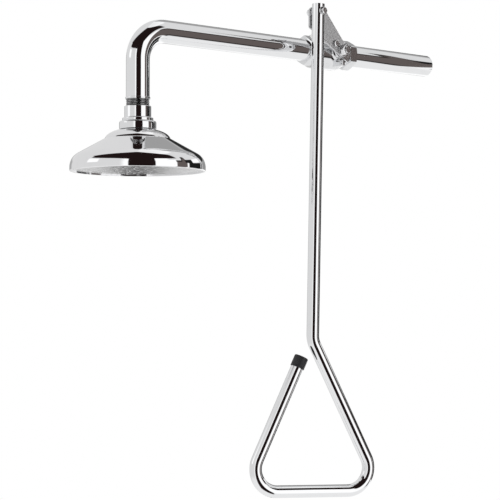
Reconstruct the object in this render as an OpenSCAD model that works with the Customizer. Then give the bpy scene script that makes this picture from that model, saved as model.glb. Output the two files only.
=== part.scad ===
// Emergency safety shower: a wall-fed overhead arm with a bell-shaped spray head, opened by a
// stay-open ball valve, a triangular lever and a rigid pull rod with a triangular handle.
// The origin is the centre of the inlet pipe's open end. +Y points into the wall,
// +Z is up and the valve's stem points along +X. All sizes are in millimetres.

/* [Overall] */
// Inlet end to the centre line of the drop pipe
head_reach = 589; // [500:1:720]
// Inlet end to the centre line of the valve's stem
valve_setback = 224; // [185:1:270]
// Pivot bolt down to the centre line of the handle's bottom bar
pull_length = 723; // [600:1:870]

/* [Pipe] */
// Outside diameter of the pipe
pipe_d = 33.7; // [30:0.1:41]
// Wall of the pipe
pipe_wall = 2.6; // [2:0.1:3.2]
// Centre-line radius of the bend above the head
bend_radius = 45; // [40:1:55]
// Pipe centre line down to the end of the drop pipe
drop_length = 122; // [112:1:150]

/* [Valve] */
// Length of the valve between the outer faces of its two hexagons
valve_length = 96; // [90:1:116]
// Diameter of the stem
stem_d = 12; // [10:0.1:14.4]
// Distance from the top of the valve's neck to the back face of the lever plate
plate_stand = 5.75; // [5.55:0.05:9]

/* [Lever] */
// Stem to pivot bolt, centre to centre
lever_arm = 81; // [70:1:98]
// Angle of the closed lever above the horizontal
lever_rise = 40; // [34:1:48]
// Thickness of the lever plate
plate_thick = 3; // [2.5:0.1:3.8]
// Length of the lever screw's offset from the stem
screw_offset = 18; // [16.5:0.1:21.6]

/* [Pull rod] */
// Outside diameter of the rod's tube
rod_d = 19; // [16:0.1:23]
// Wall of the rod's tube
rod_wall = 1.5; // [1.2:0.1:2]
// Pivot bolt up to the top end of the rod
rod_above = 11; // [8:0.5:16]
// Height of the handle, from its bottom bar to the bend under the straight rod
handle_height = 225; // [188:1:270]
// Angle of the handle's side next to the rod, from the vertical
near_lean = 27; // [24:0.5:30]
// Angle of the handle's free side, from the vertical
free_lean = 23.5; // [21:0.5:26]
// Centre-line radius of the handle's two corners
corner_radius = 34; // [28:1:40]
// Centre-line radius of the bend under the straight rod
rod_bend_radius = 30; // [24:1:40]
// Turn of the handle's plane away from the pipe's direction
handle_turn = 22; // [0:1:40]
// Lean of the hanging rod on its pivot bolt, its handle towards the head
rod_lean = 1.4; // [0:0.1:3]

/* [Head] */
// Outside diameter of the head at its rim
head_d = 192; // [170:1:231]
// Height of the head from its rim to its flat top
head_height = 58.6; // [52:0.1:71]
// Sheet thickness of the head
head_wall = 1.5; // [1.2:0.1:2]
// Diameter of one spray hole
spray_hole_d = 3.2; // [2.4:0.1:4]

/* [Hidden] */
$fn = 64;

// fits
running = 0.08;
seated = 0.05;
apart = 0.3;
face_gap = 0.2;

// pipe
pipe_r = pipe_d / 2;
pipe_bore_r = pipe_r - pipe_wall;
socket_r = pipe_r + seated;
inlet_end_r = pipe_r - 0.5;
socket_depth = 16;
thread_pitch = 2.3;
thread_depth = 0.9;
thread_crest_r = pipe_r - 0.25;

// valve, measured from the centre of its ball
valve_half = valve_length / 2;
socket_floor = valve_half - socket_depth;
valve_bore_r = pipe_r - 4.15;
ball_r = valve_bore_r * 1.5;
chamber_r = ball_r + 1.3;
barrel_r = chamber_r + 5.65;
hex_flats = pipe_d + 7.3;
seat_front = ball_r * 0.525;
seat_thick = 6.5;
seat_back = seat_front + seat_thick;
seat_r = ball_r * cos(asin(0.525)) + 0.8;
spigot_r = chamber_r + 0.7;
spigot_tip = seat_front + 2;
seal_thick = 1;
body_face = socket_floor;
chamber_end = seat_front + 1.5;

// valve neck, measured outwards along the stem
stem_r = stem_d / 2;
tang_thick = stem_d * 0.42;
tang_depth = 5;
collar_base = ball_r + 0.5;
collar_top = collar_base + 3;
collar_r = stem_r + 2;
packing_base = collar_top + 2.7;
packing_thick = 2.8;
packing_r = stem_r + 3;
neck_top = packing_base + packing_thick + 1.2;
neck_r = packing_r + 3;
gland_flats = 2 * packing_r + 2;
gland_thick = 2.9;
arm_thick = 2.4;
plate_offset = neck_top + plate_stand;
arm_back = plate_offset - arm_thick;
gland_top = min(arm_back - 0.4, neck_top + gland_thick);
thread_r = stem_r - 1;
stem_half_flat = stem_r - 1.6;

// drive arm and the post that stops it
arm_half_w = stem_r + 2;
arm_rise = 30;
heel_length = stem_r + 14;
stop_drop = arm_half_w + 6;
stop_height = 9;
stop_reach = arm_half_w + apart;
stop_left = (stop_reach - stop_drop * sin(arm_rise)) / cos(arm_rise);
stop_right = (stop_drop * cos(arm_rise) - stop_reach) / sin(arm_rise);
stop_root = 6;

// lever plate and what holds it
plate_front = plate_offset + plate_thick;
stem_eye_r = stem_r + 4.2;
pivot_eye_r = 8;
screw_r = 3;
screw_flats = 10;
screw_head = 4;
washer_thick = 1.6;
stem_nut_flats = stem_d + 4;
stem_nut_thick = 8;
stem_end = plate_front + washer_thick + stem_nut_thick + 2.2;
screw_y = -screw_offset * cos(arm_rise);
screw_z = screw_offset * sin(arm_rise);

// pivot bolt, measured outwards along the stem's direction
pivot_y = -lever_arm * cos(lever_rise);
pivot_z = lever_arm * sin(lever_rise);
bolt_r = 3;
bolt_flats = 10;
bolt_head = 4;
nut_thick = 5.2;
pivot_washer_thick = 1.2;
pivot_washer_r = 6;
far_washer = plate_offset - face_gap - pivot_washer_thick;
far_nut = far_washer - nut_thick;
bolt_end = far_nut - 1.2;
mid_washer = plate_front + face_gap;
rod_r = rod_d / 2;
rod_bore_r = rod_r - rod_wall;
rod_x = mid_washer + pivot_washer_thick + seated + rod_r;
near_washer = rod_x + rod_r + seated;
bolt_seat = near_washer + pivot_washer_thick;
rod_y = pivot_y - valve_setback;

// pull rod's centre line in the plane of its handle: [across, up]
bar_z = pivot_z - pull_length;
bend_z = bar_z + handle_height;
near_corner = handle_height * tan(near_lean);
cap_drop = 27;
cap_across = -18.5;
free_corner = cap_across - (handle_height - cap_drop) * tan(free_lean);
rod_top = [0, pivot_z + rod_above];
rod_bend = [0, bend_z];
near_foot = [near_corner, bar_z];
free_foot = [free_corner, bar_z];
free_tip = [cap_across, bend_z - cap_drop];
cap_length = 18;
cap_wall = 1.2;
cap_roof = 3;
cap_round = 2;
cap_r = rod_r + seated + cap_wall;
bend_swell = 0.2;
bend_lap = 1.5;

// neck above the head, as heights on the drop pipe
head_y = -head_reach;
ring_top = -drop_length + 24;
ring_height = 2.8;
thread_top = ring_top - ring_height;
coupling_top = -drop_length + 11.5;
step_top = -drop_length - 5.3;
coupling_foot = -drop_length - 9.8;
spigot_foot = coupling_foot - 9.2;
coupling_r = pipe_r + 2.15;
step_r = pipe_r + 5.15;
coupling_spigot_r = pipe_r - 0.85;
neck_bore_r = pipe_r - 4.85;
hub_top = coupling_foot - face_gap;
hub_foot = hub_top - 11.6;
hub_r = pipe_r + 9.45;
hub_spigot_r = coupling_spigot_r + 4;
hub_floor = spigot_foot - 2.2;
gasket_thick = 0.8;
dome_top = hub_foot - gasket_thick;
hub_nut_top = dome_top - head_wall - seated;
hub_nut_thick = 4;
hub_nut_flats = 2 * hub_spigot_r + 4;
hub_spigot_foot = hub_nut_top - hub_nut_thick - 0.6;

// head, as [radius, drop below the dome's top]
head_r = head_d / 2;
dome_flat_r = hub_r + 0.7;
shoulder_r = head_r * 0.484;
shoulder_drop = head_height * 0.213;
flare_r = head_r * 0.875;
flare_drop = head_height * 0.568;
rim_drop = head_height * 0.887;
lip_w = 4.5;
plate_sheet = 1.5;
spray_r = head_r - head_wall - 0.2;
spray_base = dome_top - head_height + head_wall + seated;
seal_height = 2;
seal_w = 4;
ring_count = 5;
hole_border = 18;
ring_step = (spray_r - hole_border) / ring_count;

// ---- helpers ----

// turns what is built along +Z so that it lies along +Y
module along_y() {
    rotate([-90, 0, 0])
        children();
}

// turns what is built along +Z so that it lies along +X
module along_x() {
    rotate([0, 90, 0])
        children();
}

module at_valve() {
    translate([0, -valve_setback, 0])
        children();
}

module at_head() {
    translate([0, head_y, 0])
        children();
}

module at_pivot() {
    translate([0, rod_y, pivot_z])
        children();
}

// a ring from one height to another, with a plain round hole
module ring(outer_r, inner_r, low, high) {
    translate([0, 0, low])
        difference() {
            cylinder(h = high - low, r = outer_r);
            translate([0, 0, -1])
                cylinder(h = high - low + 2, r = inner_r);
        }
}

// a hexagon with its outer corners chamfered at both ends
module hexagon(flats, height) {
    corner = flats / 2 / cos(30);
    bevel = min((corner - flats / 2) * 0.6, height * 0.25);
    intersection() {
        rotate([0, 0, 30])
            cylinder(h = height, r = corner, $fn = 6);
        rotate_extrude()
            polygon([[0, 0], [flats / 2, 0], [corner, bevel], [corner, height - bevel],
                [flats / 2, height], [0, height]]);
    }
}

module hexagon_nut(flats, height, hole_r) {
    difference() {
        hexagon(flats, height);
        translate([0, 0, -1])
            cylinder(h = height + 2, r = hole_r);
    }
}

// points of a curve from a to c that leans towards b
function curve(a, b, c, steps) = [for (i = [0 : steps])
    let (t = i / steps)
    a * (1 - t) * (1 - t) + b * 2 * t * (1 - t) + c * t * t];

function unit(v) = v / norm(v);
function left_of(v) = [-v[1], v[0]];
function heading(v) = atan2(v[1], v[0]);

// the inner side of a line of points, one sheet thickness away
function inner_side(points, thick) = [for (i = [0 : len(points) - 1])
    let (before = points[max(i - 1, 0)],
        after = points[min(i + 1, len(points) - 1)])
    points[i] - left_of(unit(after - before)) * thick];

// ---- pipes ----

module inlet_pipe() {
    inlet_length = valve_setback - socket_floor;
    color([0.80, 0.81, 0.83])
        translate([0, -inlet_length, 0])
        along_y()
        difference() {
            cylinder(h = inlet_length, r = pipe_r);
            ring(pipe_r + 1, inlet_end_r, -1, socket_depth + face_gap);
            translate([0, 0, -1])
                cylinder(h = inlet_length + 2, r = pipe_bore_r);
        }
}

// the solid that a round bar of this radius fills along the arm, the bend and the drop
module arm_run(radius, extra) {
    arm_start = -valve_setback - socket_floor;
    bend_start = head_y + bend_radius;
    translate([0, bend_start, 0])
        along_y()
        cylinder(h = arm_start - bend_start + extra, r = radius);
    translate([0, bend_start, -bend_radius])
        rotate([0, 90, 0])
        rotate([0, 0, 180])
        rotate_extrude(angle = 90)
        translate([bend_radius, 0])
        circle(r = radius);
    translate([0, head_y, -drop_length - extra])
        cylinder(h = drop_length - bend_radius + extra, r = radius);
}

// the grooves between the threads on the end of the drop pipe
module thread_grooves() {
    turns = floor((thread_top + drop_length) / thread_pitch);
    difference() {
        translate([0, 0, -drop_length - 1])
            cylinder(h = thread_top + drop_length + 1, r = pipe_r + 2);
        rotate_extrude()
            polygon(concat([[0, -drop_length - 2], [thread_crest_r - thread_depth, -drop_length - 2]],
                [for (i = [0 : turns - 1]) each [
                    [thread_crest_r - thread_depth, -drop_length + (i + 0.04) * thread_pitch],
                    [thread_crest_r, -drop_length + (i + 0.46) * thread_pitch],
                    [thread_crest_r, -drop_length + (i + 0.54) * thread_pitch],
                    [thread_crest_r - thread_depth, -drop_length + (i + 0.96) * thread_pitch]]],
                [[thread_crest_r - thread_depth, thread_top + 1], [0, thread_top + 1]]));
    }
}

module arm_pipe() {
    color([0.80, 0.81, 0.83])
        difference() {
            arm_run(pipe_r, 0);
            arm_run(pipe_bore_r, 1);
            at_head()
                thread_grooves();
        }
}

// ---- valve ----

module valve_hexagon() {
    hexagon(hex_flats, socket_depth - seal_thick);
}

module valve_body() {
    color([0.78, 0.79, 0.81])
        at_valve()
        difference() {
            union() {
                along_y()
                    rotate_extrude()
                    polygon([[0, -body_face], [barrel_r - 1.5, -body_face], [barrel_r, -body_face + 1.5],
                        [barrel_r, chamber_end + 4], [hex_flats / 2 - 1, socket_floor],
                        [hex_flats / 2 - 1, socket_floor + 2], [0, socket_floor + 2]]);
                translate([0, socket_floor + seal_thick, 0])
                    along_y()
                    valve_hexagon();
                translate([chamber_r, 0, 0])
                    along_x()
                    cylinder(h = neck_top - chamber_r, r = neck_r);
                translate([stop_root, stop_left, -stop_drop - stop_height])
                    cube([arm_back + arm_thick - face_gap - stop_root, stop_right - stop_left,
                        stop_height]);
            }
            along_y()
                rotate_extrude()
                polygon([[0, -body_face - 1], [spigot_r + seated, -body_face - 1],
                    [spigot_r + seated, -spigot_tip + 0.6], [chamber_r, -spigot_tip + 0.6],
                    [chamber_r, chamber_end], [seat_r + seated, chamber_end],
                    [seat_r + seated, seat_back], [valve_bore_r, seat_back],
                    [valve_bore_r, socket_floor], [inlet_end_r + seated, socket_floor],
                    [inlet_end_r + seated, valve_half + 1], [0, valve_half + 1]]);
            along_x()
                rotate_extrude()
                polygon([[0, 0], [collar_r + apart, 0], [collar_r + apart, collar_top + face_gap],
                    [stem_r + running, collar_top + face_gap], [stem_r + running, packing_base],
                    [packing_r + seated, packing_base], [packing_r + seated, neck_top + 1],
                    [0, neck_top + 1]]);
        }
}

module valve_end() {
    color([0.78, 0.79, 0.81])
        at_valve()
        difference() {
            union() {
                translate([0, -valve_half, 0])
                    along_y()
                    valve_hexagon();
                translate([0, -body_face - seal_thick, 0])
                    along_y()
                    cylinder(h = body_face + seal_thick - spigot_tip, r = spigot_r);
                translate([0, -body_face - 2 * seal_thick, 0])
                    along_y()
                    cylinder(h = 2 * seal_thick, r = spigot_r - 1);
            }
            along_y()
                rotate_extrude()
                polygon([[0, -valve_half - 1], [socket_r, -valve_half - 1], [socket_r, -socket_floor],
                    [valve_bore_r, -socket_floor], [valve_bore_r, -seat_back],
                    [seat_r + seated, -seat_back], [seat_r + seated, -spigot_tip + 1],
                    [0, -spigot_tip + 1]]);
        }
}

module body_seal() {
    color([0.90, 0.90, 0.87])
        at_valve()
        along_y()
        ring(barrel_r - 2, spigot_r + seated, -body_face - seal_thick, -body_face);
}

module one_seat() {
    difference() {
        ring(seat_r, valve_bore_r + 0.2, seat_front, seat_back);
        sphere(r = ball_r + running);
    }
}

module ball_seats() {
    color([0.92, 0.92, 0.90])
        at_valve()
        along_y() {
            one_seat();
            mirror([0, 0, 1])
                one_seat();
        }
}

module stem_packing() {
    color([0.92, 0.92, 0.90])
        at_valve()
        along_x()
        ring(packing_r, stem_r + seated, packing_base, packing_base + packing_thick);
}

module gland_nut() {
    nose = packing_base + packing_thick;
    color([0.72, 0.73, 0.75])
        at_valve()
        along_x()
        difference() {
            union() {
                translate([0, 0, nose])
                    cylinder(h = gland_top - nose, r = packing_r);
                translate([0, 0, neck_top])
                    hexagon(gland_flats, gland_top - neck_top);
            }
            translate([0, 0, nose - 1])
                cylinder(h = gland_top - nose + 2, r = stem_r + running);
        }
}

// ---- lever ----

module valve_ball() {
    color([0.82, 0.83, 0.85])
        at_valve()
        difference() {
            sphere(r = ball_r);
            translate([0, 0, -ball_r - 1])
                cylinder(h = 2 * ball_r + 2, r = valve_bore_r);
            translate([ball_r - tang_depth - face_gap, -tang_thick / 2 - seated, -ball_r])
                cube([tang_depth + 2, tang_thick + 2 * seated, 2 * ball_r]);
        }
}

// the round bar with two flats that the drive arm's hole fits over
module flatted(radius, half_flat, low, high) {
    intersection() {
        translate([0, 0, low])
            cylinder(h = high - low, r = radius);
        translate([-radius - 1, -half_flat, low])
            cube([2 * radius + 2, 2 * half_flat, high - low]);
    }
}

module valve_stem() {
    color([0.70, 0.71, 0.73])
        at_valve() {
            intersection() {
                translate([ball_r - tang_depth, -tang_thick / 2, -collar_r])
                    cube([tang_depth + 1.5, tang_thick, 2 * collar_r]);
                along_x()
                    cylinder(h = collar_top, r = collar_r);
            }
            along_x() {
                translate([0, 0, collar_base])
                    cylinder(h = collar_top - collar_base, r = collar_r);
                translate([0, 0, collar_base])
                    cylinder(h = arm_back - collar_base, r = stem_r);
                flatted(stem_r, stem_half_flat, arm_back - 0.5, plate_offset);
                translate([0, 0, arm_back])
                    cylinder(h = stem_end - arm_back - 1, r = stem_half_flat - 0.5);
                translate([0, 0, plate_offset])
                    cylinder(h = stem_end - plate_offset, r = thread_r);
            }
        }
}

module drive_arm() {
    color([0.62, 0.63, 0.65])
        at_valve()
        difference() {
            rotate([-arm_rise, 0, 0])
                union() {
                    translate([arm_back, -screw_offset, -arm_half_w])
                        cube([arm_thick, heel_length + screw_offset, 2 * arm_half_w]);
                    translate([arm_back, -screw_offset, 0])
                        along_x()
                        cylinder(h = arm_thick, r = arm_half_w - 0.1);
                }
            along_x()
                flatted(stem_r + seated, stem_half_flat + seated, arm_back - 1, plate_offset + 1);
            translate([arm_back - 1, screw_y, screw_z])
                along_x()
                cylinder(h = arm_thick + 2, r = screw_r + seated);
        }
}

// the eye circles of the lever plate, as [across, up, radius] in order around its edge
plate_eyes = [[0, 0, stem_eye_r],
    [-lever_arm * 0.46, lever_arm * 0.645, 4],
    [pivot_y, pivot_z, pivot_eye_r],
    [-lever_arm * 0.80, lever_arm * 0.39, 5]];

// the direction in which the straight edge from one eye to the next touches both circles
function edge_side(a, b) =
    let (gap = [b[0] - a[0], b[1] - a[1]])
    heading(gap) - 90 + asin((b[2] - a[2]) / norm(gap));

// points around one eye, between the edge that reaches it and the edge that leaves it
function eye_points(before, eye, after) =
    let (first = edge_side(before, eye),
        sweep = (edge_side(eye, after) - first + 720) % 360,
        steps = ceil(sweep / 7.5))
    [for (i = [0 : steps])
        [eye[0], eye[1]] + eye[2] * [cos(first + sweep * i / steps), sin(first + sweep * i / steps)]];

module plate_outline() {
    count = len(plate_eyes);
    polygon([for (i = [0 : count - 1])
        each eye_points(plate_eyes[(i + count - 1) % count], plate_eyes[i], plate_eyes[(i + 1) % count])]);
}

module lever_plate() {
    color([0.52, 0.52, 0.53])
        at_valve()
        difference() {
            translate([plate_offset, 0, 0])
                rotate([90, 0, 90])
                linear_extrude(height = plate_thick)
                plate_outline();
            translate([plate_offset - 1, 0, 0])
                along_x()
                cylinder(h = plate_thick + 2, r = thread_r + seated);
            translate([plate_offset - 1, pivot_y, pivot_z])
                along_x()
                cylinder(h = plate_thick + 2, r = bolt_r + running);
            translate([plate_offset - 1, screw_y, screw_z])
                along_x()
                cylinder(h = plate_thick + 2, r = screw_r + face_gap);
        }
}

module lever_screw() {
    color([0.70, 0.71, 0.73])
        at_valve()
        translate([0, screw_y, screw_z])
        along_x() {
            translate([0, 0, arm_back])
                cylinder(h = plate_front - arm_back + 1, r = screw_r);
            translate([0, 0, plate_front])
                hexagon(screw_flats, screw_head);
        }
}

module stem_washer() {
    color([0.70, 0.71, 0.73])
        at_valve()
        along_x()
        ring(stem_nut_flats / 2 + 1.5, thread_r + seated, plate_front, plate_front + washer_thick);
}

module stem_nut() {
    color([0.74, 0.75, 0.77])
        at_valve()
        translate([plate_front + washer_thick, 0, 0])
        along_x()
        hexagon_nut(stem_nut_flats, stem_nut_thick, thread_r + seated);
}

// ---- pull rod ----

// leans what hangs on the pivot bolt
module leaning() {
    at_pivot()
        rotate([-rod_lean, 0, 0])
        translate([0, -rod_y, -pivot_z])
        children();
}

// stands the handle's plane, built as [across, up], on the rod's centre line
module in_handle_plane() {
    leaning()
        translate([rod_x, rod_y, 0])
        rotate([0, 0, 90 - handle_turn])
        rotate([90, 0, 0])
        children();
}

// how far from a corner its bend begins
function bend_back(turn, sweep_r) = sweep_r * tan(turn / 2);

// the turns of the rod's line at its bend and at the handle's two corners
near_turn = 180 - (90 - near_lean);
free_turn = 180 - (90 - free_lean);
straight_length = rod_top[1] - bend_z - bend_back(near_lean, rod_bend_radius);
near_length = norm(near_foot - rod_bend) - bend_back(near_lean, rod_bend_radius)
    - bend_back(near_turn, corner_radius);
bar_length = norm(free_foot - near_foot) - bend_back(near_turn, corner_radius)
    - bend_back(free_turn, corner_radius);
free_length = norm(free_tip - free_foot) - bend_back(free_turn, corner_radius);

// a straight length of bar that laps into what is before and after it, with what follows on its end
module straight(length, radius, before, after) {
    translate([0, 0, -before])
        cylinder(h = length + before + after, r = radius);
    translate([0, 0, length])
        children();
}

// a bend towards +X, a little fuller than the bar, with what follows standing on its end
module bend(turn, sweep_r, radius) {
    translate([sweep_r, 0, 0])
        rotate([90, 0, 180])
        rotate_extrude(angle = turn)
        translate([sweep_r, 0])
        circle(r = radius + bend_swell);
    translate([sweep_r * (1 - cos(turn)), 0, sweep_r * sin(turn)])
        rotate([0, turn, 0])
        children();
}

module rod_run(radius, extra) {
    leaning()
        translate([rod_x, rod_y, rod_top[1]])
        rotate([0, 0, 90 - handle_turn])
        rotate([180, 0, 0])
        straight(straight_length, radius, extra, bend_lap)
        bend(near_lean, rod_bend_radius, radius)
        straight(near_length, radius, bend_lap, bend_lap)
        rotate([0, 0, 180])
        bend(near_turn, corner_radius, radius)
        straight(bar_length, radius, bend_lap, bend_lap)
        bend(free_turn, corner_radius, radius)
        straight(free_length, radius, bend_lap, extra);
}

module pull_rod() {
    color([0.80, 0.81, 0.83])
        difference() {
            rod_run(rod_r, 0);
            rod_run(rod_bore_r, 1);
            at_pivot()
                translate([rod_x - rod_r - 1, 0, 0])
                along_x()
                cylinder(h = rod_d + 2, r = bolt_r + seated);
        }
}

module rod_end_cap() {
    color([0.05, 0.05, 0.05])
        in_handle_plane()
        translate([free_tip[0], free_tip[1], 0])
        rotate([0, 0, heading(free_tip - free_foot)])
        along_x()
        difference() {
            rotate_extrude() {
                translate([0, cap_roof - cap_length])
                    square([cap_r, cap_length - cap_round]);
                square([cap_r - cap_round, cap_roof]);
                intersection() {
                    translate([cap_r - cap_round, cap_roof - cap_round])
                        circle(r = cap_round);
                    square([cap_r + 1, cap_roof + 1]);
                }
            }
            translate([0, 0, cap_roof - cap_length - 1])
                cylinder(h = cap_length - cap_roof + 1 + seated, r = rod_r + seated);
        }
}

module pivot_bolt() {
    color([0.72, 0.73, 0.75])
        at_pivot()
        along_x() {
            translate([0, 0, bolt_end])
                cylinder(h = bolt_seat - bolt_end + 1, r = bolt_r);
            translate([0, 0, bolt_seat])
                hexagon(bolt_flats, bolt_head);
        }
}

module pivot_washers() {
    color([0.70, 0.71, 0.73])
        at_pivot()
        along_x()
        for (base = [far_washer, mid_washer, near_washer])
            ring(pivot_washer_r, bolt_r + seated, base, base + pivot_washer_thick);
}

module pivot_nut() {
    color([0.72, 0.73, 0.75])
        at_pivot()
        translate([far_nut, 0, 0])
        along_x()
        hexagon_nut(bolt_flats, nut_thick, bolt_r + seated);
}

// ---- neck and head ----

module neck_ring() {
    color([0.84, 0.85, 0.86])
        at_head()
        ring(pipe_r + 0.9, pipe_r + seated, thread_top, ring_top);
}

module outlet_coupling() {
    color([0.78, 0.79, 0.81])
        at_head()
        difference() {
            rotate_extrude()
                polygon([[0, coupling_top], [coupling_r - 0.8, coupling_top],
                    [coupling_r, coupling_top - 0.8], [coupling_r, step_top],
                    [step_r - 0.6, step_top], [step_r, step_top - 0.6],
                    [step_r, coupling_foot], [coupling_spigot_r, coupling_foot],
                    [coupling_spigot_r, spigot_foot], [0, spigot_foot]]);
            translate([0, 0, -drop_length])
                cylinder(h = coupling_top + drop_length + 1, r = socket_r);
            translate([0, 0, spigot_foot - 1])
                cylinder(h = -drop_length - spigot_foot + 2, r = neck_bore_r);
        }
}

module head_hub() {
    color([0.78, 0.79, 0.81])
        at_head()
        difference() {
            rotate_extrude()
                polygon([[0, hub_top], [hub_r - 1.4, hub_top], [hub_r, hub_top - 1.4],
                    [hub_r, hub_foot + 0.8], [hub_r - 0.8, hub_foot], [hub_spigot_r, hub_foot],
                    [hub_spigot_r, hub_spigot_foot], [0, hub_spigot_foot]]);
            translate([0, 0, hub_floor])
                cylinder(h = hub_top - hub_floor + 1, r = coupling_spigot_r + seated);
            translate([0, 0, hub_spigot_foot - 1])
                cylinder(h = hub_floor - hub_spigot_foot + 2, r = neck_bore_r);
        }
}

module hub_gasket() {
    color([0.12, 0.12, 0.12])
        at_head()
        ring(hub_r - 1.5, hub_spigot_r + seated, dome_top, hub_foot);
}

module hub_nut() {
    color([0.70, 0.71, 0.73])
        at_head()
        translate([0, 0, hub_nut_top - hub_nut_thick])
        hexagon_nut(hub_nut_flats, hub_nut_thick, hub_spigot_r + seated);
}

module flow_washer() {
    color([0.16, 0.16, 0.16])
        at_head()
        ring(coupling_spigot_r, neck_bore_r - 3.5, hub_floor, spigot_foot);
}

// the dome's outer side from its top hole to its rim, as [radius, height]
function dome_side() = [for (p = concat(
        [[hub_spigot_r + face_gap, 0]],
        curve([dome_flat_r, 0], [shoulder_r * 0.947, -shoulder_drop * 0.36],
            [shoulder_r, -shoulder_drop], 6),
        curve([shoulder_r + 1, -shoulder_drop - 0.5], [head_r * 0.68, -head_height * 0.39],
            [flare_r, -flare_drop], 5),
        curve([flare_r + 1, -flare_drop - 0.6], [head_r * 0.988, -head_height * 0.675],
            [head_r, -rim_drop], 7),
        [[head_r, -head_height]]))
    [p[0], p[1] + dome_top]];

module head_dome() {
    outer = dome_side();
    inner = inner_side(outer, head_wall);
    last = len(inner) - 1;
    color([0.80, 0.81, 0.83])
        at_head()
        rotate_extrude()
        polygon(concat(outer,
            [[head_r - lip_w, dome_top - head_height],
                [head_r - lip_w, dome_top - head_height + head_wall],
                [head_r - head_wall, dome_top - head_height + head_wall]],
            [for (i = [last - 1 : -1 : 0]) inner[i]]));
}

module plate_seal() {
    color([0.12, 0.12, 0.12])
        at_head()
        ring(spray_r, spray_r - seal_w, spray_base + plate_sheet + seated,
            spray_base + plate_sheet + seated + seal_height);
}

module spray_plate() {
    color([0.76, 0.77, 0.79])
        at_head()
        translate([0, 0, spray_base])
        difference() {
            cylinder(h = plate_sheet, r = spray_r);
            for (turn_ring = [1 : ring_count])
                for (hole = [0 : 6 * turn_ring - 1])
                    rotate([0, 0, hole * 60 / turn_ring + turn_ring * 7])
                        translate([turn_ring * ring_step, 0, -1])
                        cylinder(h = plate_sheet + 2, r = spray_hole_d / 2);
            translate([0, 0, -1])
                cylinder(h = plate_sheet + 2, r = spray_hole_d / 2);
        }
}

inlet_pipe();
arm_pipe();
valve_body();
valve_end();
body_seal();
ball_seats();
stem_packing();
gland_nut();
neck_ring();
outlet_coupling();
head_hub();
hub_gasket();
hub_nut();
flow_washer();
head_dome();
plate_seal();
spray_plate();
valve_ball();
valve_stem();
drive_arm();
lever_plate();
lever_screw();
stem_washer();
stem_nut();
pull_rod();
rod_end_cap();
pivot_bolt();
pivot_washers();
pivot_nut();
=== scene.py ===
import math

import bmesh
import bpy
from mathutils import Matrix, Vector


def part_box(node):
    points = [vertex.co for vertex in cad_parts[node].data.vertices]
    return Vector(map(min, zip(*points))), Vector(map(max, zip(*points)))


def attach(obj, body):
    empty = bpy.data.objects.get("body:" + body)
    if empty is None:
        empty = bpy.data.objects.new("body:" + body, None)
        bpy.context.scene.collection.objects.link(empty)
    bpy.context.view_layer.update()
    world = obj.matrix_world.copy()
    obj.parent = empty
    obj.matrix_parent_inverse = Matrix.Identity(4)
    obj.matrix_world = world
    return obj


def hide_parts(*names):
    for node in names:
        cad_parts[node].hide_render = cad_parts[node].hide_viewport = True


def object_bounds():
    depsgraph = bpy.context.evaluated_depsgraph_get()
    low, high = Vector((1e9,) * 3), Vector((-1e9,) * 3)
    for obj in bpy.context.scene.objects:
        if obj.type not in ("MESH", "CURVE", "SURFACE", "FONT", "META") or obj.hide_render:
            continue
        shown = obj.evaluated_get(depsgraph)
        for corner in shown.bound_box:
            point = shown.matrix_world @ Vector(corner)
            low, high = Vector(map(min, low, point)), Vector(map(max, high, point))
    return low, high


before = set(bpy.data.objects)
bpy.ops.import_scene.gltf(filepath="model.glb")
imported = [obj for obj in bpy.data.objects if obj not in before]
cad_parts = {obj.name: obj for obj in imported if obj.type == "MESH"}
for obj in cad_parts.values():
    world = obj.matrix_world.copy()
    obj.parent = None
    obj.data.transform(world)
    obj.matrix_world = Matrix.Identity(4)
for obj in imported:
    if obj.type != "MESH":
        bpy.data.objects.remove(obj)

cad_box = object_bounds()

MM = 0.001
X_AXIS = Vector((1, 0, 0))
Y_AXIS = Vector((0, 1, 0))
Z_AXIS = Vector((0, 0, 1))
# a spun shape that closes on its axis ends in a ring this small, which tidy_up welds into one point
POLE_R = 0.01


# ---- sizes taken from the frame, in millimetres ----

def span(node):
    low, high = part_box(node)
    return low / MM, high / MM


inlet_low, inlet_high = span("inlet_pipe")
arm_low, arm_high = span("arm_pipe")
dome_low, dome_high = span("head_dome")
hub_low, hub_high = span("head_hub")
coupling_low, coupling_high = span("outlet_coupling")
ring_low, ring_high = span("neck_ring")
spray_low, spray_high = span("spray_plate")
_, body_high = span("valve_body")
ball_low, ball_high = span("valve_ball")
_, stem_high = span("valve_stem")
gland_low, gland_high = span("gland_nut")
drive_low, _ = span("drive_arm")
plate_low, plate_high = span("lever_plate")
screw_low, screw_high = span("lever_screw")
stem_washer_low, stem_washer_high = span("stem_washer")
stem_nut_low, stem_nut_high = span("stem_nut")
bolt_low, bolt_high = span("pivot_bolt")
pivot_nut_low, pivot_nut_high = span("pivot_nut")
washers_low, washers_high = span("pivot_washers")

PIPE_R = inlet_high.x
PIPE_WALL = 2.6
BORE_R = PIPE_R - PIPE_WALL
SOCKET_R = PIPE_R + 0.05
HEAD_Y = (dome_low.y + dome_high.y) / 2
HEAD_R = dome_high.x
VALVE_Y = (ball_low.y + ball_high.y) / 2
BALL_R = ball_high.y - VALVE_Y
BEND_R = 45.0
PIVOT = Vector((0, (bolt_low.y + bolt_high.y) / 2, (washers_low.z + washers_high.z) / 2))
PLATE_BACK = plate_low.x
PLATE_FRONT = plate_high.x
SCREW = Vector((0, (screw_low.y + screw_high.y) / 2, (screw_low.z + screw_high.z) / 2))


# ---- shapes ----

class Frame:
    """Where a shape built along its own z stands: an origin, and the way its z points."""

    def __init__(self, origin, axis=Z_AXIS):
        self.origin = Vector(origin)
        self.turn = Z_AXIS.rotation_difference(axis)

    def place(self, point):
        return self.origin + self.turn @ Vector(point)


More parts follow.
